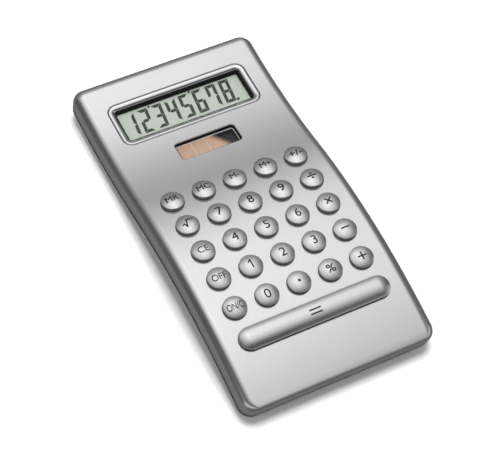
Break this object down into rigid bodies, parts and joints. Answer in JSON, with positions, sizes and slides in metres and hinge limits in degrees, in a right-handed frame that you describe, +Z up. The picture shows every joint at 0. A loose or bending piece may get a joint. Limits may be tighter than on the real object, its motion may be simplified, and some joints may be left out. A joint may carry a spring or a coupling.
{
  "type": "pocket calculator",
  "caption": "Silver pocket calculator with a wave-shaped case, recessed liquid crystal display, solar cell strip, round domed keys and a long equals bar, sprung to press in",
  "frame": {"origin": "on the table under the middle of the case", "axes": "+X to the right of the user, +Y from the equals bar towards the display, +Z up, feet on z = 0"},
  "size_m": [0.0602, 0.1202, 0.0176],
  "materials": {
    "silver_face": "satin silver paint on moulded plastic",
    "silver_key": "satin silver paint, dark printed legend",
    "grey_rear": "fine grained moulded plastic",
    "bright_rim": "bright silver plating",
    "clear_window": "clear moulded window",
    "lcd_panel": "grey-green liquid crystal display",
    "reflector_foil": "brushed foil",
    "dark_foam": "soft foam",
    "contact_rubber": "layered contact rubber",
    "board_laminate": "green solder mask",
    "black_resin": "cured resin",
    "solar_film": "brown amorphous cells behind glass",
    "wire_jacket": "insulated wire",
    "cell_steel": "nickel-plated can",
    "contact_brass": "plated spring strip",
    "keypad_rubber": "moulded silicone",
    "contact_film": "printed film",
    "plate_steel": "pressed sheet",
    "screw_steel": "plated screws",
    "foot_rubber": "soft black rubber",
    "legend_ink": "dark grey printed ink",
    "segment_ink": "dark display segments",
    "dark_well": "dark paint inside the display and solar openings"
  },
  "bodies": {
    "case": {"front_cover": "silver_face", "rear_cover": "grey_rear", "display_frame": "bright_rim", "display_window": "clear_window", "lcd_glass": "lcd_panel", "lcd_reflector": "reflector_foil", "lcd_foam_pad": "dark_foam", "contact_rubber": "contact_rubber", "circuit_board": "board_laminate", "potted_chip": "black_resin", "solar_cell": "solar_film", "solar_leads": "wire_jacket", "button_cell": "cell_steel", "battery_contact_plus": "contact_brass", "battery_contact_minus": "contact_brass", "keypad_mat": "keypad_rubber", "contact_film": "contact_film", "backing_plate": "plate_steel", "case_screws": "screw_steel", "board_screws": "screw_steel", "rubber_feet": "foot_rubber"},
    "key_mr": {"key_mr": "silver_key"},
    "key_mc": {"key_mc": "silver_key"},
    "key_m_minus": {"key_m_minus": "silver_key"},
    "key_m_plus": {"key_m_plus": "silver_key"},
    "key_sign": {"key_sign": "silver_key"},
    "key_root": {"key_root": "silver_key"},
    "key_7": {"key_7": "silver_key"},
    "key_8": {"key_8": "silver_key"},
    "key_9": {"key_9": "silver_key"},
    "key_divide": {"key_divide": "silver_key"},
    "key_ce": {"key_ce": "silver_key"},
    "key_4": {"key_4": "silver_key"},
    "key_5": {"key_5": "silver_key"},
    "key_6": {"key_6": "silver_key"},
    "key_multiply": {"key_multiply": "silver_key"},
    "key_off": {"key_off": "silver_key"},
    "key_1": {"key_1": "silver_key"},
    "key_2": {"key_2": "silver_key"},
    "key_3": {"key_3": "silver_key"},
    "key_minus": {"key_minus": "silver_key"},
    "key_on_c": {"key_on_c": "silver_key"},
    "key_0": {"key_0": "silver_key"},
    "key_point": {"key_point": "silver_key"},
    "key_percent": {"key_percent": "silver_key"},
    "key_plus": {"key_plus": "silver_key"},
    "key_equals": {"key_equals": "silver_key"}
  },
  "joints": [
    {"name": "press_mr", "type": "slide", "parent": "case", "child": "key_mr", "axis": [0, -0.1409, -0.99], "range_m": [0, 0.001], "stiffness_N_per_m": 400, "springref_m": -0.0003, "deforming": ["keypad_mat"]},
    {"name": "press_mc", "type": "slide", "parent": "case", "child": "key_mc", "axis": [0, -0.1409, -0.99], "range_m": [0, 0.001], "stiffness_N_per_m": 400, "springref_m": -0.0003, "deforming": ["keypad_mat"]},
    {"name": "press_m_minus", "type": "slide", "parent": "case", "child": "key_m_minus", "axis": [0, -0.1409, -0.99], "range_m": [0, 0.001], "stiffness_N_per_m": 400, "springref_m": -0.0003, "deforming": ["keypad_mat"]},
    {"name": "press_m_plus", "type": "slide", "parent": "case", "child": "key_m_plus", "axis": [0, -0.1409, -0.99], "range_m": [0, 0.001], "stiffness_N_per_m": 400, "springref_m": -0.0003, "deforming": ["keypad_mat"]},
    {"name": "press_sign", "type": "slide", "parent": "case", "child": "key_sign", "axis": [0, -0.1409, -0.99], "range_m": [0, 0.001], "stiffness_N_per_m": 400, "springref_m": -0.0003, "deforming": ["keypad_mat"]},
    {"name": "press_root", "type": "slide", "parent": "case", "child": "key_root", "axis": [0, -0.0788, -0.9969], "range_m": [0, 0.001], "stiffness_N_per_m": 400, "springref_m": -0.0003, "deforming": ["keypad_mat"]},
    {"name": "press_7", "type": "slide", "parent": "case", "child": "key_7", "axis": [0, -0.0788, -0.9969], "range_m": [0, 0.001], "stiffness_N_per_m": 400, "springref_m": -0.0003, "deforming": ["keypad_mat"]},
    {"name": "press_8", "type": "slide", "parent": "case", "child": "key_8", "axis": [0, -0.0788, -0.9969], "range_m": [0, 0.001], "stiffness_N_per_m": 400, "springref_m": -0.0003, "deforming": ["keypad_mat"]},
    {"name": "press_9", "type": "slide", "parent": "case", "child": "key_9", "axis": [0, -0.0788, -0.9969], "range_m": [0, 0.001], "stiffness_N_per_m": 400, "springref_m": -0.0003, "deforming": ["keypad_mat"]},
    {"name": "press_divide", "type": "slide", "parent": "case", "child": "key_divide", "axis": [0, -0.0788, -0.9969], "range_m": [0, 0.001], "stiffness_N_per_m": 400, "springref_m": -0.0003, "deforming": ["keypad_mat"]},
    {"name": "press_ce", "type": "slide", "parent": "case", "child": "key_ce", "axis": [0, -0.0164, -0.9999], "range_m": [0, 0.001], "stiffness_N_per_m": 400, "springref_m": -0.0003, "deforming": ["keypad_mat"]},
    {"name": "press_4", "type": "slide", "parent": "case", "child": "key_4", "axis": [0, -0.0164, -0.9999], "range_m": [0, 0.001], "stiffness_N_per_m": 400, "springref_m": -0.0003, "deforming": ["keypad_mat"]},
    {"name": "press_5", "type": "slide", "parent": "case", "child": "key_5", "axis": [0, -0.0164, -0.9999], "range_m": [0, 0.001], "stiffness_N_per_m": 400, "springref_m": -0.0003, "deforming": ["keypad_mat"]},
    {"name": "press_6", "type": "slide", "parent": "case", "child": "key_6", "axis": [0, -0.0164, -0.9999], "range_m": [0, 0.001], "stiffness_N_per_m": 400, "springref_m": -0.0003, "deforming": ["keypad_mat"]},
    {"name": "press_multiply", "type": "slide", "parent": "case", "child": "key_multiply", "axis": [0, -0.0164, -0.9999], "range_m": [0, 0.001], "stiffness_N_per_m": 400, "springref_m": -0.0003, "deforming": ["keypad_mat"]},
    {"name": "press_off", "type": "slide", "parent": "case", "child": "key_off", "axis": [0, 0.0461, -0.9989], "range_m": [0, 0.001], "stiffness_N_per_m": 400, "springref_m": -0.0003, "deforming": ["keypad_mat"]},
    {"name": "press_1", "type": "slide", "parent": "case", "child": "key_1", "axis": [0, 0.0461, -0.9989], "range_m": [0, 0.001], "stiffness_N_per_m": 400, "springref_m": -0.0003, "deforming": ["keypad_mat"]},
    {"name": "press_2", "type": "slide", "parent": "case", "child": "key_2", "axis": [0, 0.0461, -0.9989], "range_m": [0, 0.001], "stiffness_N_per_m": 400, "springref_m": -0.0003, "deforming": ["keypad_mat"]},
    {"name": "press_3", "type": "slide", "parent": "case", "child": "key_3", "axis": [0, 0.0461, -0.9989], "range_m": [0, 0.001], "stiffness_N_per_m": 400, "springref_m": -0.0003, "deforming": ["keypad_mat"]},
    {"name": "press_minus", "type": "slide", "parent": "case", "child": "key_minus", "axis": [0, 0.0461, -0.9989], "range_m": [0, 0.001], "stiffness_N_per_m": 400, "springref_m": -0.0003, "deforming": ["keypad_mat"]},
    {"name": "press_on_c", "type": "slide", "parent": "case", "child": "key_on_c", "axis": [0, 0.1084, -0.9941], "range_m": [0, 0.001], "stiffness_N_per_m": 400, "springref_m": -0.0003, "deforming": ["keypad_mat"]},
    {"name": "press_0", "type": "slide", "parent": "case", "child": "key_0", "axis": [0, 0.1084, -0.9941], "range_m": [0, 0.001], "stiffness_N_per_m": 400, "springref_m": -0.0003, "deforming": ["keypad_mat"]},
    {"name": "press_point", "type": "slide", "parent": "case", "child": "key_point", "axis": [0, 0.1084, -0.9941], "range_m": [0, 0.001], "stiffness_N_per_m": 400, "springref_m": -0.0003, "deforming": ["keypad_mat"]},
    {"name": "press_percent", "type": "slide", "parent": "case", "child": "key_percent", "axis": [0, 0.1084, -0.9941], "range_m": [0, 0.001], "stiffness_N_per_m": 400, "springref_m": -0.0003, "deforming": ["keypad_mat"]},
    {"name": "press_plus", "type": "slide", "parent": "case", "child": "key_plus", "axis": [0, 0.1084, -0.9941], "range_m": [0, 0.001], "stiffness_N_per_m": 400, "springref_m": -0.0003, "deforming": ["keypad_mat"]},
    {"name": "press_equals", "type": "slide", "parent": "case", "child": "key_equals", "axis": [0, 0.1703, -0.9854], "range_m": [0, 0.001], "stiffness_N_per_m": 400, "springref_m": -0.0003, "deforming": ["keypad_mat"]}
  ]
}
